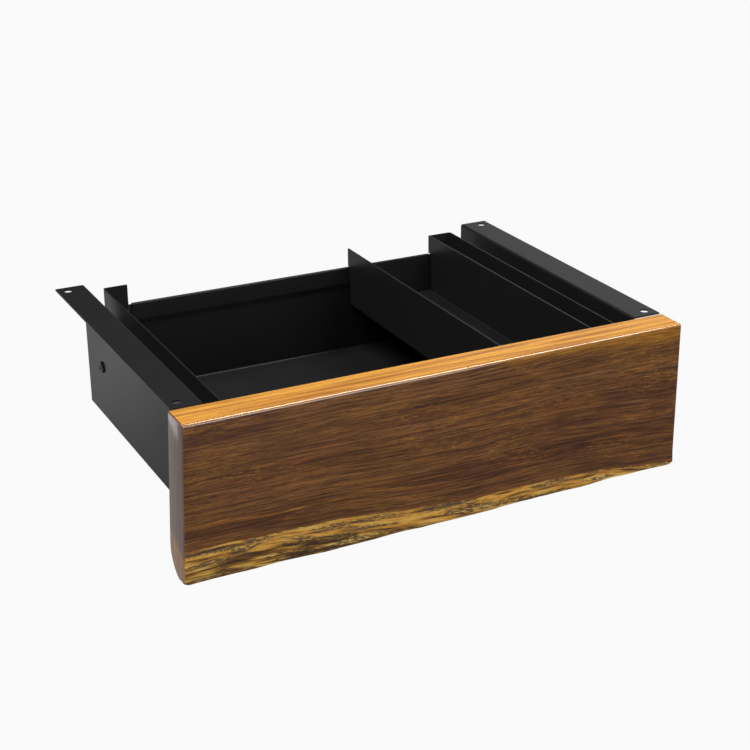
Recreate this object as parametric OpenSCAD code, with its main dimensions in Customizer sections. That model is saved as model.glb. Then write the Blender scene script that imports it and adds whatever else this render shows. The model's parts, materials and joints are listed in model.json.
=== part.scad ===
// Under-desk drawer: two desk brackets, two ball-bearing slides, a folded steel drawer with a
// pen tray, and a thick wooden front with a natural lower edge.
// +X is right, -Y is the front, +Z is up. The origin is the centre of the four desk holes, on the
// plane of the flange tops, which is the underside of the desk.

/* [Overall] */
// Width across the two desk flanges
flange_span = 370; // [320:1:600]
// Length of the brackets, front to back
bracket_len = 250; // [200:1:450]
// Height of the brackets below the desk
bracket_h = 94.5; // [85:0.5:140]

/* [Brackets] */
// Width of a flange, out from the inner face of the plate
flange_w = 22.5; // [18:0.5:40]
// Thickness of the bracket steel
bracket_t = 1.2; // [1:0.1:3]
// Diameter of the desk holes
desk_hole_d = 6.4; // [4:0.1:8]
// Desk hole's centre to the outer edge of the flange
desk_hole_side = 7.5; // [5:0.1:12]
// Desk hole's centre to the end of the bracket
desk_hole_end = 8; // [6:0.1:30]

/* [Slides] */
// Thickness of a closed slide, which is the gap beside the drawer
slide_t = 12.7; // [12.7:0.1:16]
// Height of the outer rail
rail_h = 45; // [45:0.5:48]
// Thickness of the rail steel
rail_t = 1.2; // [1:0.05:1.2]
// Diameter of the bearing balls
ball_d = 3.9; // [3.7:0.05:3.9]
// Balls in one row of a cage
ball_count = 6; // [3:1:8]
// Length of a ball cage
cage_len = 70; // [60:1:80]
// Middle of the slides, below the desk
slide_drop = 54; // [50:0.5:60]
// Outer rail's end to the bracket's end
rail_setback = 2; // [1:0.5:5]
// Rail screw's centre to the bracket's end
rail_screw_end = 36; // [30:1:50]
// Height of the rubber stop
stop_h = 20; // [10:1:24]

/* [Drawer] */
// Thickness of the drawer steel
sheet_t = 1.2; // [0.8:0.1:1.6]
// Outer radius of the bends
bend_r = 2.4; // [2:0.1:4]
// Top of the drawer sides, below the desk
side_drop = 3.5; // [2:0.5:10]
// Height of the drawer sides
side_h = 88; // [80:0.5:130]
// Rear end of the brackets to the rear of the drawer
rear_setback = 4.5; // [3:0.5:12]
// Width of the returns at the rear of the sides
return_w = 19; // [12:0.5:30]
// Top of the rear wall, below the top of the sides
rear_step = 15; // [5:0.5:30]
// Height of the hem on the rear wall
hem_h = 13.5; // [8:0.5:20]
// Gap between a return and the hem
hem_relief = 2.4; // [1:0.1:5]

/* [Pen tray] */
// Outer width of the tray
tray_w = 75; // [60:1:110]
// Outer height of the tray
tray_h = 48; // [35:0.5:60]

/* [Wooden front] */
// Thickness of the wood
wood_t = 25.4; // [18:0.1:35]
// Height of the wood at its left end
wood_h = 111.5; // [100:0.5:150]
// How much shorter the wood is at its right end
wood_taper = 3; // [0:0.1:8]
// Wood past the flanges at its top
wood_over = 1.6; // [0:0.1:5]
// How far the left end leans out at the bottom
wood_lean = 4.6; // [0:0.1:8]
// Top of the wood, below the desk
wood_drop = 1; // [0.5:0.1:5]
// Radius of the rounded edges
wood_round = 2; // [1:0.1:4]
// Radius of the natural edge at the back
live_r = 23; // [10:0.5:23]

/* [Screws] */
// Diameter of the screw shanks
screw_d = 4; // [3:0.1:4.5]
// Diameter of the pan heads
head_d = 8.6; // [7:0.1:9.5]
// Height of the pan heads
head_h = 2.4; // [2:0.1:2.5]
// Wood left in front of the tips of the wood screws
screw_skin = 7; // [5:0.5:10]

/* [Fits] */
// Gap between the brackets and the back of the wood
front_gap = 0.5; // [0.3:0.1:2]
// Radial clearance round a screw shank
screw_clear = 0.05; // [0.03:0.01:0.1]
// Clearance between a ball and its race or pocket
ball_clear = 0.05; // [0.03:0.01:0.1]
// Gap between sliding webs inside a slide
web_gap = 0.3; // [0.3:0.05:0.4]
// Radial clearance of the release lever on its rivet
lever_clear = 0.06; // [0.03:0.01:0.1]
// Gap between parts of the drawer that are welded side by side
seam_gap = 0.2; // [0.1:0.05:0.5]
// Gap between the inner rail and the rubber stop
stop_gap = 0.4; // [0.3:0.1:2]

/* [Hidden] */
$fn = 64;

black = "#1c1c1e";
zinc = "#b9bcc0";
wood_brown = "#6b3d1f";
rubber = "#2b2b2b";

// Brackets and slides
half_span = flange_span / 2;
bracket_inner_r = 0.6;
bracket_front = -bracket_len / 2;
plate_x = half_span - flange_w;
bracket_bend_r = bracket_t + bracket_inner_r;
desk_hole_x = half_span - desk_hole_side;
desk_hole_y = bracket_len / 2 - desk_hole_end;
rail_screw_y = bracket_len / 2 - rail_screw_end;

// Layers of a slide, counted from the bracket's plate towards the drawer
cage_t = 0.6;
cage_flange_t = 0.8;
cage_edge = 0.6;
ball_web_gap = 0.7;
outer_cage_u = rail_t + web_gap;
middle_u = outer_cage_u + cage_t + web_gap;
inner_cage_u = middle_u + rail_t + web_gap;
race_r = ball_d / 2 + ball_clear;
lip_angle = 30;
outer_ball_u = middle_u + rail_t + race_r + ball_web_gap;
inner_ball_u = inner_cage_u + cage_t + web_gap + (race_r + rail_t) * cos(lip_angle);
outer_ball_w = rail_h / 2 - rail_t - race_r;
middle_top_w = outer_ball_w - race_r;
// The inner balls run on the outside of the middle rail's curled lips
inner_ball_w = outer_ball_w
    - sqrt(pow(2 * race_r + rail_t, 2) - pow(inner_ball_u - outer_ball_u, 2));
inner_top_w = inner_ball_w - race_r;

// Lengths and places of the rails
outer_rail_len = bracket_len - 2 * rail_setback;
outer_rail_y = bracket_front + rail_setback;
middle_rail_front = 2;
middle_rail_rear = 14;
inner_rail_rear = 6;
stop_inset = 0.5;
middle_rail_len = outer_rail_len - middle_rail_front - middle_rail_rear;
middle_rail_y = outer_rail_y + middle_rail_front;
inner_rail_len = outer_rail_len - inner_rail_rear;
inner_rail_y = outer_rail_y;
outer_cage_y = -10;
inner_cage_y = 0;

// Drawer
half_box = plate_x - slide_t;
box_front = bracket_front - front_gap;
drawer_len = bracket_len + front_gap - rear_setback;
box_rear = box_front + drawer_len;
side_bottom = -side_drop - side_h;
floor_under = side_bottom + sheet_t;
floor_top = floor_under + sheet_t;
inner_half = half_box - sheet_t;
bend_inner_r = bend_r - sheet_t;
pan_middle_y = box_front + drawer_len / 2;
return_x = half_box - return_w;
side_flange_w = 14;
rear_top = -side_drop - rear_step;
hem_gap = 0.3;
hem_t = 2 * sheet_t + hem_gap;
front_wall_drop = 4;
front_wall_top = -side_drop - front_wall_drop;

// Tray
corner_gap = 0.5;
tray_right = return_x - hem_gap;
tray_left = tray_right - tray_w;
tray_bottom = -side_drop - tray_h;
tray_front = box_front + sheet_t + seam_gap;
tray_rear = box_rear - hem_t - seam_gap;
tray_corner = sheet_t + corner_gap;

// Wooden front
wood_back = box_front;
wood_face = wood_back - wood_t;
wood_bottom = -wood_drop - wood_h;
wood_screw_len = wood_t - screw_skin + sheet_t;
pilot_spare = 1;
channel_x = (tray_right + inner_half) / 2;
screw_inset = 24;
upper_screw_drop = 21;
lower_screw_rise = 18;
front_screw_x = [-inner_half + screw_inset, tray_left - screw_inset, channel_x];
front_screw_z = [front_wall_top - upper_screw_drop, floor_top + lower_screw_rise];

// Screws and release lever
shank_r = screw_d / 2;
hole_r = shank_r + screw_clear;
recess_w = 1;
recess_len = head_d * 0.55;
recess_depth = 1.2;
lever_gap = 0.3;
lever_u = slide_t - rail_t - lever_gap;
lever_t = 2.6;
lever_pivot_y = 10;
lever_arm = 42;
lever_tail = 16;
lever_boss_r = 5;
lever_end_r = 3;
rivet_r = 2;
rivet_head_r = 3.4;
rivet_head_t = 0.7;
rivet_gap = 0.2;

// A strip of sheet bent to an L: outer corner at the origin, legs along +X and +Y
module bent_strip(leg_x, leg_y, thickness, radius) {
    translate([radius, 0])
        square([leg_x - radius, thickness]);
    translate([0, radius])
        square([thickness, leg_y - radius]);
    intersection() {
        square(radius);
        translate([radius, radius])
            difference() {
                circle(r = radius);
                circle(r = radius - thickness);
            }
    }
}

// A length along Y, from y to y + len, of an outline drawn in X and Z
module along_y(y, len) {
    translate([0, y + len, 0])
        rotate([90, 0, 0])
            linear_extrude(len)
                children();
}

// A length along X, from x to x + len, of an outline drawn in Y and Z
module along_x(x, len) {
    translate([x, 0, 0])
        rotate([90, 0, 90])
            linear_extrude(len)
                children();
}

// Part of a ring of sheet round a ball, between two angles less than 180 degrees apart
module race_lip(from_angle, to_angle) {
    reach = 2 * (race_r + rail_t);
    intersection() {
        difference() {
            circle(r = race_r + rail_t);
            circle(r = race_r);
        }
        polygon([
            [0, 0],
            reach * [cos(from_angle), sin(from_angle)],
            reach * [cos((from_angle + to_angle) / 2), sin((from_angle + to_angle) / 2)],
            reach * [cos(to_angle), sin(to_angle)]
        ]);
    }
}

// Turns the outline of a slide's part, drawn for the right-hand side as distance from the plate
// and height from the slide's middle, into a length along Y
module slide_length(y, len) {
    translate([plate_x, 0, -slide_drop])
        along_y(y, len)
            mirror([1, 0])
                children();
}

// Pan head with a cross recess and a plain shank, pointing down from its seat at the origin
module pan_screw(len) {
    difference() {
        union() {
            intersection() {
                cylinder(d = head_d, h = head_h);
                translate([0, 0, head_h - head_d])
                    sphere(r = head_d);
            }
            translate([0, 0, -len])
                cylinder(r = shank_r, h = len + 0.1);
        }
        for (turn = [0, 90])
            rotate([0, 0, turn])
                translate([-recess_len / 2, -recess_w / 2, head_h - recess_depth])
                    cube([recess_len, recess_w, recess_depth + 1]);
    }
}

// L-shaped bracket: plate inboard, flange outward, two desk holes and two rail screw holes
module bracket() {
    color(black)
        difference() {
            translate([plate_x, 0, 0])
                along_y(bracket_front, bracket_len)
                    mirror([0, 1])
                        bent_strip(flange_w, bracket_h, bracket_t, bracket_bend_r);
            for (end = [-1, 1]) {
                translate([desk_hole_x, end * desk_hole_y, -bracket_t - 1])
                    cylinder(d = desk_hole_d, h = bracket_t + 2);
                translate([plate_x - 1, end * rail_screw_y, -slide_drop])
                    rotate([0, 90, 0])
                        cylinder(r = hole_r, h = bracket_t + 2);
            }
        }
}

// Screws that hold one outer rail, heads outside the plate and tips flush inside the rail
module rail_to_bracket_screws() {
    color(zinc)
        for (end = [-1, 1])
            translate([plate_x + bracket_t, end * rail_screw_y, -slide_drop])
                rotate([0, 90, 0])
                    pan_screw(bracket_t + rail_t);
}

// Outer rail: a channel with its lips curled in over the outer balls
module outer_rail() {
    color(zinc)
        difference() {
            slide_length(outer_rail_y, outer_rail_len)
                for (flip = [0, 1])
                    mirror([0, flip]) {
                        square([rail_t, rail_h / 2]);
                        translate([0, rail_h / 2 - rail_t])
                            square([outer_ball_u, rail_t]);
                        translate([outer_ball_u, outer_ball_w])
                            race_lip(lip_angle, 90);
                    }
            for (end = [-1, 1])
                translate([plate_x - rail_t - 1, end * rail_screw_y, -slide_drop])
                    rotate([0, 90, 0])
                        cylinder(r = hole_r, h = rail_t + 2);
        }
}

// Rubber block at the rear of the outer rail, which the inner rail closes against
module rail_stop() {
    stop_y = inner_rail_y + inner_rail_len + stop_gap;
    stop_end = outer_rail_y + outer_rail_len - stop_inset;
    color(rubber)
        slide_length(stop_y, stop_end - stop_y)
            translate([rail_t, -stop_h / 2])
                square([slide_t - 2 * rail_t, stop_h]);
}

// Middle rail: runs on the outer balls and carries the inner balls
module middle_rail() {
    color(zinc)
        slide_length(middle_rail_y, middle_rail_len)
            for (flip = [0, 1])
                mirror([0, flip]) {
                    translate([middle_u, 0])
                        square([rail_t, middle_top_w]);
                    translate([middle_u, middle_top_w - rail_t])
                        square([outer_ball_u - middle_u, rail_t]);
                    translate([outer_ball_u, outer_ball_w])
                        race_lip(-90, -lip_angle);
                }
}

// Inner rail: fixed to the drawer side, with its lips curled up round the inner balls and a
// rivet that the release lever turns on
module inner_rail() {
    rivet_len = rail_t + lever_gap + lever_t + rivet_gap;
    color(zinc)
        difference() {
            union() {
                slide_length(inner_rail_y, inner_rail_len)
                    for (flip = [0, 1])
                        mirror([0, flip]) {
                            translate([slide_t - rail_t, 0])
                                square([rail_t, inner_top_w]);
                            translate([inner_ball_u, inner_top_w - rail_t])
                                square([slide_t - inner_ball_u, rail_t]);
                            translate([inner_ball_u, inner_ball_w])
                                race_lip(-180 + lip_angle, -90);
                        }
                translate([plate_x - slide_t, lever_pivot_y, -slide_drop])
                    rotate([0, 90, 0]) {
                        cylinder(r = rivet_r, h = rivet_len + 0.1);
                        translate([0, 0, rivet_len])
                            cylinder(r = rivet_head_r, h = rivet_head_t);
                    }
            }
            for (end = [-1, 1])
                translate([plate_x - slide_t - 1, end * rail_screw_y, -slide_drop])
                    rotate([0, 90, 0])
                        cylinder(r = hole_r, h = rail_t + 2);
        }
}

// Screws that hold one inner rail to the drawer side, heads inside the rail
module rail_to_drawer_screws() {
    color(zinc)
        for (end = [-1, 1])
            translate([plate_x - slide_t + rail_t, end * rail_screw_y, -slide_drop])
                rotate([0, 90, 0])
                    pan_screw(rail_t + sheet_t);
}

// Ball cage: a thin strip with a pocket in each flange for every ball
module cage(web_u, ball_u, ball_w, middle_y) {
    color(zinc)
        difference() {
            slide_length(middle_y - cage_len / 2, cage_len) {
                translate([web_u, -ball_w])
                    square([cage_t, 2 * ball_w]);
                for (flip = [-1, 1])
                    translate([web_u, flip * ball_w - cage_flange_t / 2])
                        square([ball_u - web_u + race_r + cage_edge, cage_flange_t]);
            }
            for (flip = [-1, 1], place = [1 : ball_count])
                translate([
                    plate_x - ball_u,
                    middle_y + ball_place(place),
                    -slide_drop + flip * ball_w - cage_flange_t
                ])
                    cylinder(r = race_r, h = 2 * cage_flange_t);
        }
}

// Two rows of balls in one cage
module balls(ball_u, ball_w, middle_y) {
    color(zinc)
        for (flip = [-1, 1], place = [1 : ball_count])
            translate([
                plate_x - ball_u,
                middle_y + ball_place(place),
                -slide_drop + flip * ball_w
            ])
                sphere(d = ball_d);
}

// Place of a ball along its cage, from the cage's middle
function ball_place(place) = (place - (ball_count + 1) / 2) * cage_len / ball_count;

// Release lever: an arm with a round boss that turns on the inner rail's rivet
module release_lever() {
    color(black)
        translate([plate_x - lever_u, lever_pivot_y, -slide_drop])
            rotate([0, 90, 0])
                linear_extrude(lever_t)
                    difference() {
                        union() {
                            circle(r = lever_boss_r);
                            translate([-lever_end_r, -lever_arm])
                                square([2 * lever_end_r, lever_arm + lever_tail]);
                            translate([0, -lever_arm])
                                circle(r = lever_end_r);
                            translate([0, lever_tail])
                                circle(r = lever_end_r);
                        }
                        circle(r = rivet_r + lever_clear);
                    }
}

// Side of the drawer: wall, rear return and the lower flange that the pan is welded to
module side() {
    color(black)
        difference() {
            union() {
                translate([half_box, 0, side_bottom])
                    along_y(box_front, drawer_len - bend_r)
                        mirror([1, 0])
                            bent_strip(side_flange_w, side_h, sheet_t, bend_r);
                translate([half_box, box_rear, side_bottom + bend_r])
                    linear_extrude(side_h - bend_r)
                        mirror([1, 0])
                            mirror([0, 1])
                                bent_strip(return_w, 2 * bend_r, sheet_t, bend_r);
            }
            for (end = [-1, 1])
                translate([inner_half - 1, end * rail_screw_y, -slide_drop])
                    rotate([0, 90, 0])
                        cylinder(r = hole_r, h = sheet_t + 2);
        }
}

// Drawer pan: floor, front wall behind the wood, and rear wall with its hem
module drawer_pan() {
    pan_half = inner_half - bend_inner_r - seam_gap;
    rear_half = return_x - hem_gap;
    hem_half = return_x - hem_relief;
    wall_top_w = rear_top - floor_under;
    color(black) {
        difference() {
            along_x(-pan_half, 2 * pan_half)
                translate([box_front, floor_under])
                    bent_strip(drawer_len / 2, front_wall_top - floor_under, sheet_t, bend_r);
            for (x = front_screw_x, z = front_screw_z)
                translate([x, box_front - 1, z])
                    rotate([-90, 0, 0])
                        cylinder(r = hole_r, h = sheet_t + 2);
        }
        along_x(-rear_half, 2 * rear_half)
            translate([box_rear, floor_under])
                mirror([1, 0])
                    bent_strip(drawer_len / 2 + 1, wall_top_w - hem_t / 2, sheet_t, bend_r);
        for (flip = [0, 1])
            mirror([flip, 0, 0])
                translate([rear_half - 1, pan_middle_y - 1, floor_under])
                    cube([
                        pan_half - rear_half + 1,
                        box_rear - sheet_t - seam_gap - pan_middle_y + 1,
                        sheet_t
                    ]);
        // The hem: the top of the rear wall folded over and down on its inner side
        along_x(-hem_half, 2 * hem_half)
            translate([box_rear, rear_top]) {
                translate([-hem_t / 2, -hem_t / 2])
                    intersection() {
                        difference() {
                            circle(d = hem_t);
                            circle(d = hem_gap);
                        }
                        translate([-hem_t, 0])
                            square([2 * hem_t, hem_t]);
                    }
                translate([-hem_t, -hem_h])
                    square([sheet_t, hem_h - hem_t / 2]);
            }
    }
}

// Pen tray: floor, front and rear walls and two long sides that reach over the rear wall
module pen_tray() {
    tray_len = tray_rear - tray_front;
    side_top = -side_drop - tray_bottom;
    end_top = rear_top - tray_bottom;
    color(black) {
        along_y(tray_front, tray_len)
            for (flip = [0, 1])
                translate([tray_left + tray_w / 2, tray_bottom])
                    mirror([flip, 0])
                        translate([-tray_w / 2, 0])
                            bent_strip(tray_w / 2 + 1, side_top, sheet_t, bend_r);
        along_x(tray_left + tray_corner, tray_w - 2 * tray_corner)
            for (flip = [0, 1])
                translate([tray_front + tray_len / 2, tray_bottom])
                    mirror([flip, 0])
                        translate([-tray_len / 2, 0])
                            bent_strip(tray_len / 2 + 1, end_top, sheet_t, bend_r);
        for (x = [tray_left, tray_right - sheet_t])
            translate([x, tray_rear - 1, rear_top + seam_gap])
                cube([sheet_t, box_rear - tray_rear + 1, rear_step - seam_gap]);
    }
}

// Wooden front: rounded edges, a leaning left end, a tapering natural lower edge
module wood_front() {
    low_right = wood_bottom + wood_taper;
    half_wood = half_span + wood_over;
    color(wood_brown)
        difference() {
            intersection() {
                along_x(-half_wood - wood_lean, 2 * half_wood + wood_lean)
                    wood_section();
                along_y(wood_face, wood_t)
                    polygon([
                        [-half_wood, -wood_drop],
                        [half_wood, -wood_drop],
                        [half_wood, low_right],
                        [0, wood_bottom + wood_taper / 4],
                        [-half_wood - wood_lean, wood_bottom]
                    ]);
            }
            for (x = front_screw_x, z = front_screw_z)
                translate([x, wood_face + screw_skin - pilot_spare, z])
                    rotate([-90, 0, 0])
                        cylinder(r = hole_r, h = wood_t - screw_skin + 2 * pilot_spare);
        }
}

// Outline of the wood's end: top corners and lower front corner rounded, natural curve at the back
module wood_section() {
    difference() {
        translate([wood_face, wood_bottom])
            square([wood_t, wood_h]);
        corner_cut(wood_face, -wood_drop, 0, 1, wood_round);
        corner_cut(wood_back, -wood_drop, 1, 1, wood_round);
        corner_cut(wood_face, wood_bottom, 0, 0, wood_round);
        corner_cut(wood_back, wood_bottom, 1, 0, live_r);
    }
}

// What rounding a corner at y, z takes away. It is drawn for the lower front corner; back and up
// are 1 to turn it over for a corner at the back or at the top
module corner_cut(y, z, back, up, radius) {
    translate([y, z])
        mirror([back, 0])
            mirror([0, up])
                difference() {
                    translate([-1, -1])
                        square(radius + 1);
                    translate([radius, radius])
                        circle(r = radius);
                }
}

// Wood screws through the pan's front wall into the wood, heads inside the drawer
module front_screws() {
    color(zinc)
        for (x = front_screw_x, z = front_screw_z)
            translate([x, box_front + sheet_t, z])
                rotate([-90, 0, 0])
                    pan_screw(wood_screw_len);
}

// The left-hand copy of a part drawn for the right
module left_hand() {
    mirror([1, 0, 0])
        children();
}

module left_bracket() left_hand() bracket();
module right_bracket() bracket();
module left_outer_rail() left_hand() outer_rail();
module right_outer_rail() outer_rail();
module left_rail_stop() left_hand() rail_stop();
module right_rail_stop() rail_stop();
module left_middle_rail() left_hand() middle_rail();
module right_middle_rail() middle_rail();
module outer_cage() cage(outer_cage_u, outer_ball_u, outer_ball_w, outer_cage_y);
module left_outer_cage() left_hand() outer_cage();
module right_outer_cage() outer_cage();
module outer_balls() balls(outer_ball_u, outer_ball_w, outer_cage_y);
module left_outer_balls() left_hand() outer_balls();
module right_outer_balls() outer_balls();
module inner_cage() cage(inner_cage_u, inner_ball_u, inner_ball_w, inner_cage_y);
module left_inner_cage() left_hand() inner_cage();
module right_inner_cage() inner_cage();
module inner_balls() balls(inner_ball_u, inner_ball_w, inner_cage_y);
module left_inner_balls() left_hand() inner_balls();
module right_inner_balls() inner_balls();
module left_inner_rail() left_hand() inner_rail();
module right_inner_rail() inner_rail();
module left_release_lever() left_hand() release_lever();
module right_release_lever() release_lever();
module left_side() left_hand() side();
module right_side() side();

module bracket_screws() {
    rail_to_bracket_screws();
    left_hand() rail_to_bracket_screws();
}

module inner_rail_screws() {
    rail_to_drawer_screws();
    left_hand() rail_to_drawer_screws();
}

left_bracket();
right_bracket();
bracket_screws();
left_outer_rail();
right_outer_rail();
left_rail_stop();
right_rail_stop();
left_middle_rail();
right_middle_rail();
left_outer_cage();
right_outer_cage();
left_outer_balls();
right_outer_balls();
left_inner_cage();
right_inner_cage();
left_inner_balls();
right_inner_balls();
left_inner_rail();
right_inner_rail();
left_release_lever();
right_release_lever();
inner_rail_screws();
left_side();
right_side();
drawer_pan();
pen_tray();
wood_front();
front_screws();
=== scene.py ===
import json
import math
from types import SimpleNamespace

import bmesh
import bpy
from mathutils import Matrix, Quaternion, Vector


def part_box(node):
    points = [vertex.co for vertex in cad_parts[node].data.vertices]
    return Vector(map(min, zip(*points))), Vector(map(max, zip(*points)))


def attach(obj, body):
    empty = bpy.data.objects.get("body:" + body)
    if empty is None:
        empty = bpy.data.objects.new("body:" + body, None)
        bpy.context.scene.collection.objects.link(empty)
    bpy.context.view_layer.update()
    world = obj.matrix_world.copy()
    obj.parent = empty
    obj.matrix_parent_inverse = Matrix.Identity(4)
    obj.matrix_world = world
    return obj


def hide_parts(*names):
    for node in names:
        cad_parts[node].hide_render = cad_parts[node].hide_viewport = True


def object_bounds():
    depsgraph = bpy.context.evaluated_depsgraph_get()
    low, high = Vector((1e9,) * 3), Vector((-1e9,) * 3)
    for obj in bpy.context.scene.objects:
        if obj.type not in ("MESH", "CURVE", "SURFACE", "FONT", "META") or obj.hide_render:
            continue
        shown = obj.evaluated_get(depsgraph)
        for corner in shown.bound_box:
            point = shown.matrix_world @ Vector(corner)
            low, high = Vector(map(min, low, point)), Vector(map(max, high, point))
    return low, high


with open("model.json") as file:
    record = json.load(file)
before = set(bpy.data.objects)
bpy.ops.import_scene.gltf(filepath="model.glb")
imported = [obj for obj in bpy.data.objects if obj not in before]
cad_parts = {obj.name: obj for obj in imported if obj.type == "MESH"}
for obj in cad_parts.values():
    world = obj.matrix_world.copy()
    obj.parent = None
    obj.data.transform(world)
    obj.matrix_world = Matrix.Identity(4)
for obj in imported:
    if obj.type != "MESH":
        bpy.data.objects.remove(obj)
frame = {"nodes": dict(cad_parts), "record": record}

# Under-desk drawer: powder-coated brackets, sheet-steel drawer with a pen tray, ball-bearing
# slides, and a thick wooden front with a natural lower edge. Everything is in metres, in the
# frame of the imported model: +X right, -Y front, +Z up, origin on the underside of the desk.

MM = 0.001
CAD_LOW, CAD_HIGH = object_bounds()
WOOD_LOW, WOOD_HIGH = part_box("wood_front")
WOOD_SIZE = WOOD_HIGH - WOOD_LOW
LEAN = 4.6 * MM  # how far the wood's left end leans out at the bottom
BODY_OF = {
    node: body
    for body, nodes in frame["record"]["behaviour"]["bodies"].items()
    for node in nodes
}


# ---------------------------------------------------------------- camera, stage and light

CAMERA_AIM = Vector((12.7, -5.7, 2.2)) * MM  # from the middle of the whole object
CAMERA_DISTANCE = 1212.4 * MM
CAMERA_HEADING = math.radians(26.29)
CAMERA_PITCH = math.radians(22.56)
CAMERA_ROLL = math.radians(-0.476)
CAMERA_LENS = 78.93

FLOOR_DROP = 420 * MM  # from the desk plane to the floor
FLOOR_SIZE = 60.0
PALE = "#fafafa"
ROOM_LIGHT = 0.04  # brightness of the room as the object sees it
FLOOR_LIGHT = 0.3  # and of the floor


def make_camera():
    """The camera, a little above the drawer and to its left, looking at its middle."""
    forward = Vector((
        math.sin(CAMERA_HEADING) * math.cos(CAMERA_PITCH),
        math.cos(CAMERA_HEADING) * math.cos(CAMERA_PITCH),
        -math.sin(CAMERA_PITCH),
    ))
    aim = (CAD_LOW + CAD_HIGH) / 2 + CAMERA_AIM
    bpy.ops.object.camera_add(location=aim - forward * CAMERA_DISTANCE)
    camera = bpy.context.object
    camera.name = "camera"
    camera.rotation_mode = "QUATERNION"
    level = forward.to_track_quat("-Z", "Y")
    camera.rotation_quaternion = level @ Quaternion((0, 0, 1), CAMERA_ROLL)
    camera.data.lens = CAMERA_LENS
    camera.data.sensor_width = 36
    camera.data.clip_start = 0.05
    camera.data.clip_end = 60
    bpy.context.scene.camera = camera


def softbox(name, place, aim, width, height, power):
    """A rectangular soft light that shines from one point towards another."""
    place, aim = Vector(place), Vector(aim)
    bpy.ops.object.light_add(type="AREA", location=place)
    light = bpy.context.object
    light.name = name
    light.rotation_mode = "QUATERNION"
    light.rotation_quaternion = (aim - place).to_track_quat("-Z", "Y")
    light.data.shape = "RECTANGLE"
    light.data.size = width
    light.data.size_y = height
    light.data.energy = power


def make_light():
    """A dim room lit from overhead, from a bright strip at the right, from in front and behind."""
    scene = bpy.context.scene
    scene.view_settings.view_transform = "Standard"
    world = bpy.data.worlds.new("studio")
    scene.world = world
    world.use_nodes = True
    shade_backdrop(world.node_tree, "Background", ROOM_LIGHT)
    softbox(
        "overhead", place=(-0.6, 0.0, 1.2), aim=(0.0, 0.0, 0.0),
        width=0.8, height=0.8, power=15,
    )
    softbox(
        "strip", place=(0.66, -0.25, 1.3), aim=(0.66, -0.15, 0.0),
        width=0.85, height=0.26, power=13,
    )
    softbox(
        "front_fill", place=(0.2, -2.0, 0.3), aim=(0.0, -0.1, -0.05),
        width=1.6, height=0.8, power=13,
    )
    softbox(
        "back_right", place=(1.1, 1.1, 0.5), aim=(0.15, -0.1, -0.02),
        width=0.8, height=0.8, power=1.1,
    )
    softbox(
        "back_left", place=(-0.5, 0.82, -0.36), aim=(-0.17, 0.1, -0.1),
        width=0.3, height=0.2, power=0.17,
    )


def make_floor():
    """A plain pale floor lit from within, well below the drawer, which hangs under its desk."""
    bpy.ops.mesh.primitive_plane_add(size=FLOOR_SIZE, location=(0, 0, -FLOOR_DROP))
    floor = bpy.context.object
    floor.name = "floor"
    material = bpy.data.materials.new("pale_floor")
    material.use_nodes = True
    tree = material.node_tree
    tree.nodes.remove(tree.nodes["Principled BSDF"])
    shade_backdrop(tree, "Emission", FLOOR_LIGHT)
    floor.data.materials.append(material)


def shade_backdrop(tree, kind, light):
    """Shows the backdrop's pale colour, and lets it light the object with a strength of its own."""
    shown = tree.nodes.new("ShaderNode" + kind)
    shown.inputs["Color"].default_value = rgb(PALE)
    lighting = tree.nodes.new("ShaderNode" + kind)
    lighting.inputs["Color"].default_value = (1, 1, 1, 1)
    lighting.inputs["Strength"].default_value = light
    path = tree.nodes.new("ShaderNodeLightPath")
    either = tree.nodes.new("ShaderNodeMixShader")
    ends = [n for n in tree.nodes if n.type.startswith("OUTPUT")]
    tree.links.new(path.outputs["Is Camera Ray"], either.inputs["Fac"])
    tree.links.new(lighting.outputs[0], either.inputs[1])
    tree.links.new(shown.outputs[0], either.inputs[2])
    tree.links.new(either.outputs["Shader"], ends[0].inputs["Surface"])


# ---------------------------------------------------------------- shader arithmetic

def rgb(code):
    """The linear colour of a screen colour such as #8a5a30."""
    channels = [int(code[i:i + 2], 16) / 255 for i in (1, 3, 5)]
    linear = [c / 12.92 if c <= 0.04045 else ((c + 0.055) / 1.055) ** 2.4 for c in channels]
    return (*linear, 1)


class Wire:
    """A node's output, which takes part in sums as a number does."""

    def __init__(self, finish, socket):
        self.finish = finish
        self.socket = socket

    def sum_with(self, operation, first, second):
        """Adds a Math node that joins two values, of which one is this wire."""
        return self.finish.node("ShaderNodeMath", {"operation": operation}, {0: first, 1: second})

    def __add__(self, other):
        return self.sum_with("ADD", self, other)

    def __radd__(self, other):
        return self.sum_with("ADD", other, self)

    def __sub__(self, other):
        return self.sum_with("SUBTRACT", self, other)

    def __rsub__(self, other):
        return self.sum_with("SUBTRACT", other, self)

    def __mul__(self, other):
        return self.sum_with("MULTIPLY", self, other)

    def __rmul__(self, other):
        return self.sum_with("MULTIPLY", other, self)

    def __truediv__(self, other):
        return self.sum_with("DIVIDE", self, other)

    def __rtruediv__(self, other):
        return self.sum_with("DIVIDE", other, self)

    def __abs__(self):
        return self.finish.node("ShaderNodeMath", {"operation": "ABSOLUTE"}, {0: self})


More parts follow.
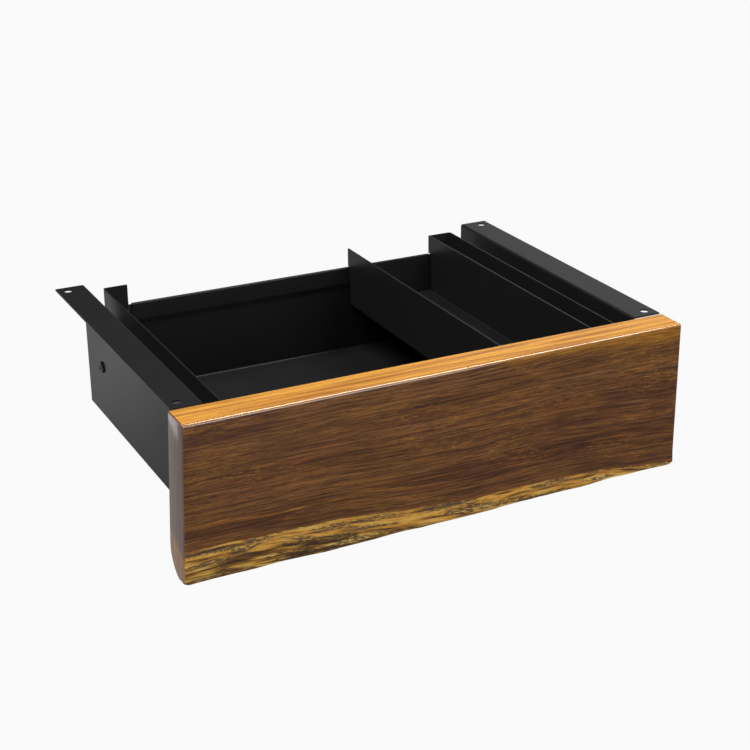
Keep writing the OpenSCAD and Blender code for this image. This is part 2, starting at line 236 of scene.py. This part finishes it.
class Finish:
    """A material: its node tree, and the shader that it ends in."""

    def __init__(self, name):
        self.material = bpy.data.materials.new(name)
        self.material.use_nodes = True
        self.tree = self.material.node_tree
        self.shader = self.tree.nodes["Principled BSDF"]

    def set(self, socket, value):
        """Gives one of the shader's sockets a constant or a wire."""
        if isinstance(value, Wire):
            self.tree.links.new(value.socket, self.shader.inputs[socket])
        else:
            self.shader.inputs[socket].default_value = value

    def node(self, kind, settings=None, inputs=None, output=0):
        """Adds a node: its settings first, then what its sockets get."""
        node = self.tree.nodes.new(kind)
        for name, value in (settings or {}).items():
            if name == "stops":
                fill_ramp(node.color_ramp, value)
            else:
                setattr(node, name, value)
        for name, value in (inputs or {}).items():
            if isinstance(value, Wire):
                self.tree.links.new(value.socket, node.inputs[name])
            else:
                node.inputs[name].default_value = value
        return Wire(self, node.outputs[output])

    def place(self):
        """The point on the piece as three wires in millimetres."""
        point = self.node("ShaderNodeTexCoord", output="Object")
        scaled = self.node(
            "ShaderNodeVectorMath", {"operation": "SCALE"}, {0: point, "Scale": 1 / MM}
        )
        return [
            self.node("ShaderNodeSeparateXYZ", inputs={0: scaled}, output=axis) for axis in "XYZ"
        ]

    def noise(self, x, y, z, detail=2.0, rough=0.5):
        """Soft noise from about 0 to 1 whose features are one unit of x, y and z in size."""
        point = self.node("ShaderNodeCombineXYZ", inputs={0: x, 1: y, 2: z})
        return self.node(
            "ShaderNodeTexNoise",
            inputs={"Vector": point, "Scale": 1.0, "Detail": detail, "Roughness": rough},
        )

    def step(self, value, low, high):
        """Rises smoothly from 0 to 1 as the value goes from low to high."""
        return self.node(
            "ShaderNodeMapRange",
            {"interpolation_type": "SMOOTHSTEP"},
            {"Value": value, "From Min": low, "From Max": high},
        )

    def ramp(self, value, *stops):
        """A colour that follows a value through named stops."""
        return self.node("ShaderNodeValToRGB", {"stops": stops}, {0: value})

    def mix(self, share, first, second):
        """A colour between two others."""
        return self.node(
            "ShaderNodeMix", {"data_type": "RGBA"}, {0: share, 6: first, 7: second}, output=2
        )

    def bump(self, height, distance, strength=1.0):
        """Feeds the shader's normal with a fine relief, its height in 0 to 1."""
        relief = self.node(
            "ShaderNodeBump",
            inputs={"Height": height, "Distance": distance, "Strength": strength},
        )
        self.set("Normal", relief)


def fill_ramp(ramp, stops):
    """Gives a colour ramp its stops, each a position and a colour."""
    while len(ramp.elements) < len(stops):
        ramp.elements.new(1.0)
    for element, (position, code) in zip(ramp.elements, stops):
        element.position = position
        element.color = rgb(code)


# ---------------------------------------------------------------- finishes

# In the calls of noise, each divisor is the size in millimetres of the pattern's features along
# that direction.

def powder_coat():
    """Black satin powder coat on sheet steel: orange peel, faint mottling, a dust of scuffs."""
    finish = Finish("black_powder_coat")
    x, y, z = finish.place()
    cloud = finish.noise(x / 45, y / 45, z / 45, 2)
    peel = finish.noise(x / 1.3, y / 1.3, z / 1.3, 2, 0.6)
    grit = finish.noise(x / 0.35, y / 0.35, z / 0.35, 1)
    speck = finish.step(finish.noise(x / 0.8, y / 0.8, z / 0.8, 1), 0.72, 0.8)
    base = finish.mix(cloud, rgb("#1e1e1f"), rgb("#252527"))
    finish.set("Base Color", finish.mix(speck * 0.3, base, rgb("#3c3c3f")))
    finish.set("Roughness", 0.33 + cloud * 0.07 + grit * 0.06)
    finish.set("Specular IOR Level", 0.3)
    finish.bump(peel * 0.75 + grit * 0.25, 0.03 * MM, 0.6)
    return finish.material


def zinc_plate():
    """Zinc-plated strip steel: rolled along its length, with a cloudy bluish passivation."""
    finish = Finish("zinc_plate")
    x, y, z = finish.place()
    rolled = finish.noise(x / 0.5, y / 60, z / 0.5, 3, 0.6)
    cloud = finish.noise(x / 14, y / 30, z / 14, 3, 0.55)
    spangle = finish.noise(x / 2.2, y / 2.2, z / 2.2, 1)
    tone = finish.mix(cloud, rgb("#a9adb4"), rgb("#c9cac8"))
    finish.set("Base Color", finish.mix(rolled * 0.5, tone, rgb("#8f949c")))
    finish.set("Metallic", 0.6)
    finish.set("Roughness", 0.26 + cloud * 0.14 + spangle * 0.06)
    finish.bump(rolled, 0.02 * MM, 0.5)
    return finish.material


def ball_steel():
    """Polished bearing balls with a film of grease."""
    finish = Finish("ball_steel")
    x, y, z = finish.place()
    film = finish.noise(x / 1.5, y / 1.5, z / 1.5, 2)
    finish.set("Base Color", finish.mix(film, rgb("#d8dade"), rgb("#bfb9a8")))
    finish.set("Metallic", 1.0)
    finish.set("Roughness", 0.08 + film * 0.12)
    return finish.material


def black_zinc():
    """Black-plated screws, worn brighter in small scratches."""
    finish = Finish("black_screw")
    x, y, z = finish.place()
    cloud = finish.noise(x / 2.5, y / 2.5, z / 2.5, 2)
    scratch = finish.step(finish.noise(x / 0.25, y / 2.0, z / 0.6, 2), 0.62, 0.72)
    base = finish.mix(cloud, rgb("#4c4d51"), rgb("#6c6d72"))
    finish.set("Base Color", finish.mix(scratch * 0.6, base, rgb("#b4b6bb")))
    finish.set("Metallic", 0.85)
    finish.set("Roughness", 0.24 + cloud * 0.14)
    finish.bump(scratch, 0.01 * MM, 0.4)
    return finish.material


def rubber():
    """Moulded black rubber: matt, dusty and slightly pitted."""
    finish = Finish("rubber")
    x, y, z = finish.place()
    dust = finish.noise(x / 6, y / 6, z / 6, 3)
    pits = finish.noise(x / 0.5, y / 0.5, z / 0.5, 2)
    finish.set("Base Color", finish.mix(dust, rgb("#1b1b1b"), rgb("#303030")))
    finish.set("Roughness", 0.72 + pits * 0.15)
    finish.bump(pits, 0.05 * MM, 0.6)
    return finish.material


def lever_plastic():
    """Black moulded plastic with a spark-eroded grain."""
    finish = Finish("lever_plastic")
    x, y, z = finish.place()
    cloud = finish.noise(x / 9, y / 9, z / 9, 2)
    grain = finish.noise(x / 0.3, y / 0.3, z / 0.3, 2)
    finish.set("Base Color", finish.mix(cloud, rgb("#18191b"), rgb("#242528")))
    finish.set("Roughness", 0.42 + grain * 0.14)
    finish.bump(grain, 0.03 * MM, 0.6)
    return finish.material


# The wooden front's figure, in millimetres
WOOD_TOP = WOOD_HIGH.z / MM
WOOD_LEFT = WOOD_LOW.x / MM
WOOD_RIGHT = WOOD_HIGH.x / MM
HEART_DEPTH = 96.0  # of the dark heartwood in the grain, wherever the sapwood's edge runs
SAP_EDGE = -89.0  # height of that edge at the left end
SAP_WANDER = 3.0  # how far it wanders up and down
LEFT_FALL = 10.5  # how far it falls along the left part, and where that part begins and ends
LEFT_PART = (-125.0, 45.0)
RIGHT_FALL = 9.0  # and along the right part
RIGHT_PART = (80.0, 210.0)
GRAIN_SWAY = 8.0  # how far the grain sways up and down
GOLD_STREAK = 79.0  # depth of the gold streak in the left part of the heartwood
GOLD_SWAY = 16.0  # how far the streak sways up and down
GOLD_FADES = (-70.0, 40.0)  # where the streak thins out to the right
RIM = 2.5  # width of the paler rim of the heartwood along the sapwood
AMBER_DEPTH = 1.0  # of the amber streak under the top edge, at the middle of the board
AMBER_GAIN = 8.0  # how much deeper it is at the right end
AMBER_STARTS = (-10.0, 80.0)  # where it fades in
HONEY_AND_LIGHT_EDGE = (1.3, 0.6)  # depth at which the top's honey colour, partly painted light from above, starts, and is full
POLISHED_EDGE = (2.2, 1.4)  # and the same for the polish along the top front edge
END_SKIN = (0.3, 1.1)  # how far from an end its end grain is full, and has gone


def wood_grain(finish):
    """What all parts of the wood share: place, depth in the grain, fibres and pores."""
    x, y, z = finish.place()
    wander = (finish.noise(x / 60, y / 60, 0.0, 2) - 0.5) * SAP_WANDER
    left_fall = finish.step(x, *LEFT_PART) * LEFT_FALL
    right_fall = finish.step(x, *RIGHT_PART) * RIGHT_FALL
    sap_edge = wander - (left_fall + right_fall) + SAP_EDGE
    depth = (WOOD_TOP - z) / (WOOD_TOP - sap_edge) * HEART_DEPTH
    sway = (finish.noise(x / 140, y / 60, depth / 45, 2) - 0.5) * GRAIN_SWAY
    down = depth + sway
    pores = finish.step(finish.noise(x / 4.5, y / 0.5, down / 0.36, 1), 0.6, 0.72)
    return SimpleNamespace(
        x=x, y=y, z=z, depth=depth, sway=sway, down=down, pores=pores,
        patch=finish.noise(x / 55, y / 20, down / 16, 2),
        fibres=finish.noise(x / 20, y / 1.3, down / 0.8, 3, 0.65),
    )


def heartwood(finish, grain):
    """Dark heartwood: broad bands, then streaks, then fibres and pores."""
    x, y, down = grain.x, grain.y, grain.down
    bands = finish.noise(x / 190, y / 22, down / 8, 3, 0.5)
    hue = finish.noise(x / 90, y / 30, down / 30 + 5.0, 2)
    pale = finish.noise(x / 45, y / 1.6, down / 1.3 + 17.0, 3, 0.6)
    lines = finish.noise(x / 80, y / 2.5, down / 1.6, 3, 0.6)
    gold = finish.step(finish.noise(x / 9, y / 1.4, down / 0.7, 2, 0.6), 0.55, 0.7)
    red = finish.step(finish.noise(x / 60, y / 4, down / 2.2 + 7.0, 2), 0.54, 0.74)
    curl = finish.step(finish.noise(x / 3.0, y / 4, down / 2.0, 2, 0.6), 0.45, 0.7)
    curly = curl * finish.step(grain.patch, 0.46, 0.62)
    golden = gold * finish.step(grain.patch, 0.42, 0.6)
    heart = finish.ramp(bands, (0.36, "#6b4029"), (0.5, "#865431"), (0.62, "#9c683a"))
    heart = finish.mix(finish.step(hue, 0.42, 0.6) * 0.5, heart, rgb("#94632c"))
    heart = finish.mix(red * 0.45, heart, rgb("#a85b2f"))
    heart = finish.mix(finish.step(lines, 0.42, 0.64) * 0.6, heart, rgb("#3f261d"))
    heart = finish.mix(curly * 0.3, heart, rgb("#b07a3c"))
    heart = finish.mix(finish.step(pale, 0.52, 0.74) * 0.35, heart, rgb("#c0843f"))
    heart = finish.mix(golden * 0.55, heart, rgb("#d8953a"))
    from_streak = abs(grain.depth - GOLD_STREAK + (hue - 0.5) * GOLD_SWAY)
    streak = (1 - finish.step(from_streak, 0.4, 1.8)) * finish.step(pale, 0.36, 0.6)
    streak = streak * (1 - finish.step(x, *GOLD_FADES))
    heart = finish.mix(streak * 0.65, heart, rgb("#d58d3c"))
    heart = finish.mix(finish.step(grain.fibres, 0.42, 0.62) * 0.62, heart, rgb("#3a2210"))
    return finish.mix(grain.pores * 0.6, heart, rgb("#25150d"))


def sapwood(finish, grain):
    """Gold sapwood with grey and black streaks, darker towards the underside."""
    x, y, down = grain.x, grain.y, grain.down
    tone = finish.noise(x / 42, y / 5, down / 2.8 + 3.0, 3, 0.6)
    hatch = finish.noise(x / 4.0, y / 0.9, down / 0.9, 2, 0.6)
    grey = finish.step(finish.noise(x / 40, y / 9, down / 4.5 + 11.0, 2), 0.44, 0.56)
    under = grain.depth + (grain.patch - 0.5) * 14.0
    under = finish.step(under, HEART_DEPTH + 8.0, HEART_DEPTH + 15.0)
    sap = finish.ramp(
        tone, (0.36, "#5c3f20"), (0.43, "#c28a42"), (0.51, "#ffb94c"), (0.64, "#ffd675")
    )
    sap = finish.mix(grey * finish.step(hatch, 0.36, 0.56) * 0.9, sap, rgb("#574a3f"))
    sap = finish.mix(under * finish.step(tone, 0.62, 0.44) * 0.75, sap, rgb("#3b2817"))
    sap = finish.mix(finish.step(grain.fibres, 0.46, 0.68) * 0.4, sap, rgb("#8a6230"))
    return finish.mix(grain.pores * 0.5, sap, rgb("#2d2118"))


def wood_face(finish, grain):
    """The front: heartwood above sapwood, with an amber streak under the right top edge."""
    x, y, down, depth = grain.x, grain.y, grain.down, grain.depth
    ragged = depth + (finish.noise(x / 9, y / 8, down / 3, 2) - 0.5) * 2.4
    sap_share = finish.step(ragged, HEART_DEPTH - 0.5, HEART_DEPTH + 0.5)
    rim = finish.step(ragged, HEART_DEPTH - RIM, HEART_DEPTH) * (1 - sap_share)
    face = finish.mix(rim * 0.3, heartwood(finish, grain), rgb("#a8702f"))
    face = finish.mix(sap_share, face, sapwood(finish, grain))
    amber_depth = AMBER_DEPTH + finish.step(x, 0.0, 190.0) * AMBER_GAIN
    amber_depth = amber_depth + grain.sway + (grain.patch - 0.5) * 12.0
    amber_share = finish.step(x, *AMBER_STARTS) * finish.step(amber_depth - depth, -2.5, 3.0)
    amber = finish.ramp(grain.fibres, (0.38, "#d0902a"), (0.6, "#8f5a1e"))
    face = finish.mix(amber_share * 0.8, face, amber)
    return finish.mix(amber_share * grain.pores * 0.6, face, rgb("#3a2212"))


def wood_top_with_painted_light(finish, grain):
    """The honey-coloured top, with long lines. Its brightness is partly painted light: the top is
    painted lighter than the front, where the overhead light falls.
    """
    x, y = grain.x, grain.y
    tone = finish.noise(x / 140, y / 4.2, 0.0, 3, 0.5)
    lines = finish.step(finish.noise(x / 26, y / 0.7, 0.0, 3, 0.6), 0.46, 0.68)
    honey = finish.ramp(tone, (0.36, "#a96f35"), (0.47, "#cc8c3e"), (0.58, "#eaa848"))
    honey = finish.mix(lines * 0.5, honey, rgb("#9a6029"))
    return finish.mix(grain.pores * 0.4, honey, rgb("#5f3a1c"))


def end_grain(finish, grain):
    """The sawn ends: grey-brown with rings and pores, and sapwood low down."""
    y, z = grain.y, grain.z
    rings = finish.noise(0.0, (y + 0.12 * z) / 4.0, z / 90, 3)
    pores = finish.step(finish.noise(0.0, y / 0.5, z / 0.7, 1), 0.62, 0.74)
    heart = finish.ramp(rings, (0.35, "#6a4c3c"), (0.65, "#856352"))
    sap = finish.ramp(rings, (0.35, "#a8713c"), (0.65, "#d29a5c"))
    down = grain.down + (y - WOOD_LOW.y / MM) * 0.55
    sap_share = finish.step(down, HEART_DEPTH - 1, HEART_DEPTH + 5)
    edge_line = sap_share * (1 - finish.step(down, HEART_DEPTH + 4, HEART_DEPTH + 9))
    end = finish.mix(sap_share, heart, sap)
    end = finish.mix(edge_line * 0.6, end, rgb("#4a4038"))
    return finish.mix(pores * 0.35, end, rgb("#33251d"))


def lacquered_wood():
    """The wooden front's finish: figured face, honey top (partly painted light from above), end
    grain, and a waxed polish.
    """
    finish = Finish("lacquered_wood")
    grain = wood_grain(finish)
    x, z = grain.x, grain.z
    full, gone = END_SKIN
    end_x = WOOD_LEFT + (z - WOOD_LOW.z / MM) * (LEAN / WOOD_SIZE.z)
    at_left = 1 - finish.step(x - end_x, full, gone)
    at_right = finish.step(x, WOOD_RIGHT - gone, WOOD_RIGHT - full)
    starts, ends = (WOOD_TOP - depth for depth in HONEY_AND_LIGHT_EDGE)
    # The top's honey colour is partly painted light: the top is painted lighter than the front,
    # where light from above falls.
    top_share_painted_lit = finish.step(z, starts, ends)
    sides = finish.mix(top_share_painted_lit, wood_face(finish, grain), wood_top_with_painted_light(finish, grain))
    finish.set("Base Color", finish.mix(at_left + at_right, sides, end_grain(finish, grain)))
    finish.set("Roughness", 0.34 + grain.fibres * 0.14)
    starts, ends = (WOOD_TOP - depth for depth in POLISHED_EDGE)
    flat_top = finish.step(z, WOOD_TOP - 0.15, WOOD_TOP - 0.02)
    polished = finish.step(z, starts, ends) * (1 - flat_top) * (1 - at_left)
    waxed = at_left * (0.75 + 0.22 * finish.step(z, -15.0, -60.0))
    finish.set("Coat Weight", 0.03 + waxed + at_right * 0.35 + polished * 0.97)
    finish.set("Coat Roughness", 0.1)
    finish.set("Coat IOR", 2.0)
    finish.set("Specular IOR Level", 0.22)
    finish.bump(1 - grain.pores * 0.5 - grain.fibres * 0.5, 0.06 * MM, 0.35)
    return finish.material


# ---------------------------------------------------------------- modelling

def only(piece):
    """Selects one piece and nothing else."""
    bpy.ops.object.select_all(action="DESELECT")
    piece.select_set(True)
    bpy.context.view_layer.objects.active = piece


def pick(piece, kind, wanted):
    """In edit mode, selects the vertices, edges or faces for which wanted(part) is true."""
    bpy.ops.mesh.select_mode(type=kind)
    bpy.ops.mesh.select_all(action="DESELECT")
    mesh = bmesh.from_edit_mesh(piece.data)
    parts = {"VERT": mesh.verts, "EDGE": mesh.edges, "FACE": mesh.faces}[kind]
    for part in parts:
        if wanted(part):
            part.select_set(True)
    mesh.select_flush_mode()
    bmesh.update_edit_mesh(piece.data)


def near(first, second, slack=0.05 * MM):
    return abs(first - second) < slack


def runs_along_x(edge):
    span = edge.verts[1].co - edge.verts[0].co
    return abs(span.x) > 0.9 * span.length


def dress(piece, name, body, material):
    """Names a finished piece, gives it its finish and puts it on its body."""
    piece.name = name
    piece.data.name = name
    piece.data.materials.clear()
    piece.data.materials.append(material)
    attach(piece, body)


def apply_modifier(piece, kind, **settings):
    """Adds a modifier and applies it."""
    only(piece)
    modifier = piece.modifiers.new(kind.lower(), kind)
    for name, value in settings.items():
        setattr(modifier, name, value)
    bpy.ops.object.modifier_apply(modifier=modifier.name)


MERGED = 0.002 * MM  # vertices of a copy this close are one
FLAT = math.radians(0.5)  # triangles this level with each other become one face
EASED = math.radians(50)  # edges sharper than this are eased
SMOOTH = math.radians(32)  # edges flatter than this are shaded smooth


def finished_copy(node, edge, material):
    """A copy of a CAD node, merged, with its sharp edges eased as a coating or tumbling does."""
    source = frame["nodes"][node]
    piece = source.copy()
    piece.data = source.data.copy()
    for mark in list(piece.keys()):  # these say that it is a CAD node, which the copy isn't
        del piece[mark]
    bpy.context.scene.collection.objects.link(piece)
    piece.parent = None
    only(piece)
    bpy.ops.object.mode_set(mode="EDIT")
    bpy.ops.mesh.select_all(action="SELECT")
    bpy.ops.mesh.remove_doubles(threshold=MERGED)
    if edge:
        bpy.ops.mesh.dissolve_limited(angle_limit=FLAT)
    bpy.ops.mesh.select_all(action="DESELECT")
    bpy.ops.object.mode_set(mode="OBJECT")
    if edge:
        apply_modifier(
            piece, "BEVEL", width=edge, segments=2, limit_method="ANGLE",
            angle_limit=EASED, use_clamp_overlap=True,
        )
    only(piece)
    bpy.ops.object.shade_smooth_by_angle(angle=SMOOTH)
    if edge:
        apply_modifier(piece, "WEIGHTED_NORMAL", weight=100, keep_sharp=True)
    dress(piece, node + "_finished", BODY_OF[node], material)
    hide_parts(node)


TAPER = 3 * MM  # how much narrower the board is at its right end
THINNER = 1.6 * MM  # and how much thinner
LOWER = -50 * MM  # the board's lower edges are below this height
LIVE_ROUND = 22 * MM  # of the natural edge, behind and below
FRONT_ROUND = 2 * MM  # of the top front edge
SMALL_ROUND = 0.8 * MM  # of the lower front edge and the top back edge
END_ROUND = 1.2 * MM
SLICE = 7 * MM  # length of the slices that the natural edge is waved in
LEFT_SLICES = (1.6 * MM, 2.6 * MM, 3.8 * MM, 5.2 * MM, 7 * MM)  # shorter ones at the corners
RIGHT_SLICES = (1.6 * MM, 2.6 * MM, 3.8 * MM, 5.2 * MM)
LEVELS = (0.70, 0.80, 0.88, 0.94)  # depths of the level cuts, as shares of the height
CORNER = Vector((0.9, 6, 1.5)) * MM  # size of the part of a lower corner that is lifted
CORNER_LIFT = 1.4 * MM
CORNER_SPREAD = 4 * MM
WAVE_STARTS = 0.80  # depth at which the waviness starts, and is full
WAVE_FULL = 0.96
WAVE_LENGTH = 38 * MM
WAVE_HEIGHT = 2.4 * MM
WAVE_MIDDLE = 0.6  # above one half, the edge is worn back more than it stands out
CALM = 14 * MM  # length at the left end over which the waviness grows
CALM_SHARE = 0.15  # and what there is of it at the very end
WOOD_SMOOTH = math.radians(40)


def wood_blank():
    """The sawn board, in edit mode."""
    low, high = WOOD_LOW, WOOD_HIGH
    bpy.ops.mesh.primitive_cube_add(size=1, location=(low + high) / 2, scale=WOOD_SIZE)
    piece = bpy.context.object
    only(piece)
    bpy.ops.object.transform_apply(location=True, rotation=False, scale=True)
    bpy.ops.object.mode_set(mode="EDIT")

    # The left end leans out towards the bottom
    pick(piece, "VERT", lambda v: near(v.co.x, low.x) and near(v.co.z, high.z))
    bpy.ops.transform.translate(value=(LEAN, 0, 0))

    # The board gets thinner and narrower to the right, and narrower faster in its right half
    pick(piece, "VERT", lambda v: near(v.co.x, high.x) and near(v.co.y, low.y))
    bpy.ops.transform.translate(value=(0, THINNER, 0))
    bpy.ops.mesh.select_all(action="SELECT")
    bpy.ops.mesh.bisect(plane_co=(0, 0, 0), plane_no=(1, 0, 0))
    pick(piece, "VERT", lambda v: near(v.co.x, 0) and v.co.z < LOWER)
    bpy.ops.transform.translate(value=(0, 0, TAPER / 4))
    pick(piece, "VERT", lambda v: near(v.co.x, high.x) and v.co.z < LOWER)
    bpy.ops.transform.translate(value=(0, 0, TAPER))
    return piece


def round_board(piece):
    """Rounds the long edges, the natural one behind and below the deepest, and then the ends."""
    def on_edge(edge, behind, below):
        middle = (edge.verts[0].co + edge.verts[1].co) / 2
        at_back = near(middle.y, WOOD_HIGH.y)
        at_front = middle.y < WOOD_LOW.y + 2 * THINNER
        placed = at_back if behind else at_front
        return runs_along_x(edge) and placed and (middle.z < LOWER) == below

    for behind, below, radius, segments in (
        (True, True, LIVE_ROUND, 14),
        (False, True, SMALL_ROUND, 5),
        (False, False, FRONT_ROUND, 5),
        (True, False, SMALL_ROUND, 5),
    ):
        pick(piece, "EDGE", lambda e: on_edge(e, behind, below))
        bpy.ops.mesh.bevel(
            offset=radius, segments=segments, affect="EDGES", clamp_overlap=True
        )
    for side in (-1, 1):
        pick(piece, "FACE", lambda f: f.normal.x * side > 0.98)
        bpy.ops.mesh.region_to_loop()
        bpy.ops.mesh.bevel(offset=END_ROUND, segments=4, affect="EDGES", clamp_overlap=True)


def slice_board():
    """Cuts the board into short slices and a few levels, which lets its lower edge wave."""
    count = int(WOOD_SIZE.x / SLICE)
    places = [WOOD_LOW.x + WOOD_SIZE.x * i / count for i in range(2, count)]
    places += [WOOD_LOW.x + step for step in LEFT_SLICES]
    places += [WOOD_HIGH.x - step for step in RIGHT_SLICES]
    cuts = [((place, 0, 0), (1, 0, 0)) for place in places]
    cuts += [((0, 0, WOOD_HIGH.z - WOOD_SIZE.z * level), (0, 0, 1)) for level in LEVELS]
    for point, direction in cuts:
        bpy.ops.mesh.select_all(action="SELECT")
        bpy.ops.mesh.bisect(plane_co=point, plane_no=direction)


def lift_corners(piece):
    """Curves the front's two lower corners up."""
    for end, bottom in ((WOOD_LOW.x, WOOD_LOW.z), (WOOD_HIGH.x, WOOD_LOW.z + TAPER)):
        pick(piece, "VERT", lambda v: (
            abs(v.co.x - end) < CORNER.x
            and v.co.y < WOOD_LOW.y + CORNER.y
            and v.co.z < bottom + CORNER.z
        ))
        bpy.ops.transform.translate(
            value=(0, 0, CORNER_LIFT), use_proportional_edit=True,
            proportional_size=CORNER_SPREAD, proportional_edit_falloff="SHARP",
        )


def wave_natural_edge(piece):
    """Gives the lower edge the waviness of the tree's outside."""
    wavy = piece.vertex_groups.new(name="natural_edge")
    start = WOOD_HIGH.z - WOOD_SIZE.z * WAVE_STARTS
    full = WOOD_HIGH.z - WOOD_SIZE.z * WAVE_FULL
    for vertex in piece.data.vertices:
        share = (start - vertex.co.z) / (start - full)
        share *= min(1.0, (vertex.co.x - WOOD_LOW.x) / CALM + CALM_SHARE)
        if share > 0:
            wavy.add([vertex.index], min(1.0, share), "REPLACE")
    clouds = bpy.data.textures.new("wave", "CLOUDS")
    clouds.noise_scale = WAVE_LENGTH
    clouds.noise_depth = 2
    apply_modifier(
        piece, "DISPLACE", texture=clouds, texture_coords="LOCAL", strength=WAVE_HEIGHT,
        mid_level=WAVE_MIDDLE, vertex_group="natural_edge", direction="NORMAL",
    )


def wood_board(material):
    """The thick wooden front: a board with rounded edges and a natural lower edge."""
    piece = wood_blank()
    round_board(piece)
    slice_board()
    lift_corners(piece)
    bpy.ops.mesh.select_all(action="SELECT")
    bpy.ops.mesh.normals_make_consistent(inside=False)
    bpy.ops.mesh.select_all(action="DESELECT")
    bpy.ops.object.mode_set(mode="OBJECT")
    wave_natural_edge(piece)
    only(piece)
    bpy.ops.object.shade_smooth_by_angle(angle=WOOD_SMOOTH)
    dress(piece, "wood_front_board", "drawer", material)
    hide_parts("wood_front")


# ---------------------------------------------------------------- the object

SHEETS = ("left_bracket", "right_bracket", "left_side", "right_side", "drawer_pan", "pen_tray")
SHEET_EDGE = 0.3 * MM  # how far the coating rounds the edges of the sheet steel
STRIP_EDGE = 0.12 * MM
STOP_EDGE = 0.8 * MM
LEVER_EDGE = 0.3 * MM
AS_MADE = 0  # the node's own edges are left as they are

make_camera()
make_light()
make_floor()

wood_board(lacquered_wood())
steel = powder_coat()
for node in SHEETS:
    finished_copy(node, SHEET_EDGE, steel)

zinc = zinc_plate()
hardware = {
    "_rail": (STRIP_EDGE, "zinc_steel", zinc),
    "_cage": (STRIP_EDGE, "zinc_steel", zinc),
    "_balls": (AS_MADE, "ball_steel", ball_steel()),
    "_screws": (AS_MADE, "black_screw", black_zinc()),
    "_stop": (STOP_EDGE, "rubber", rubber()),
    "_lever": (LEVER_EDGE, "black_plastic", lever_plastic()),
}
for node in BODY_OF:
    for ending, (edge, slot, material) in hardware.items():
        if node.endswith(ending):
            finished_copy(node, edge, material)
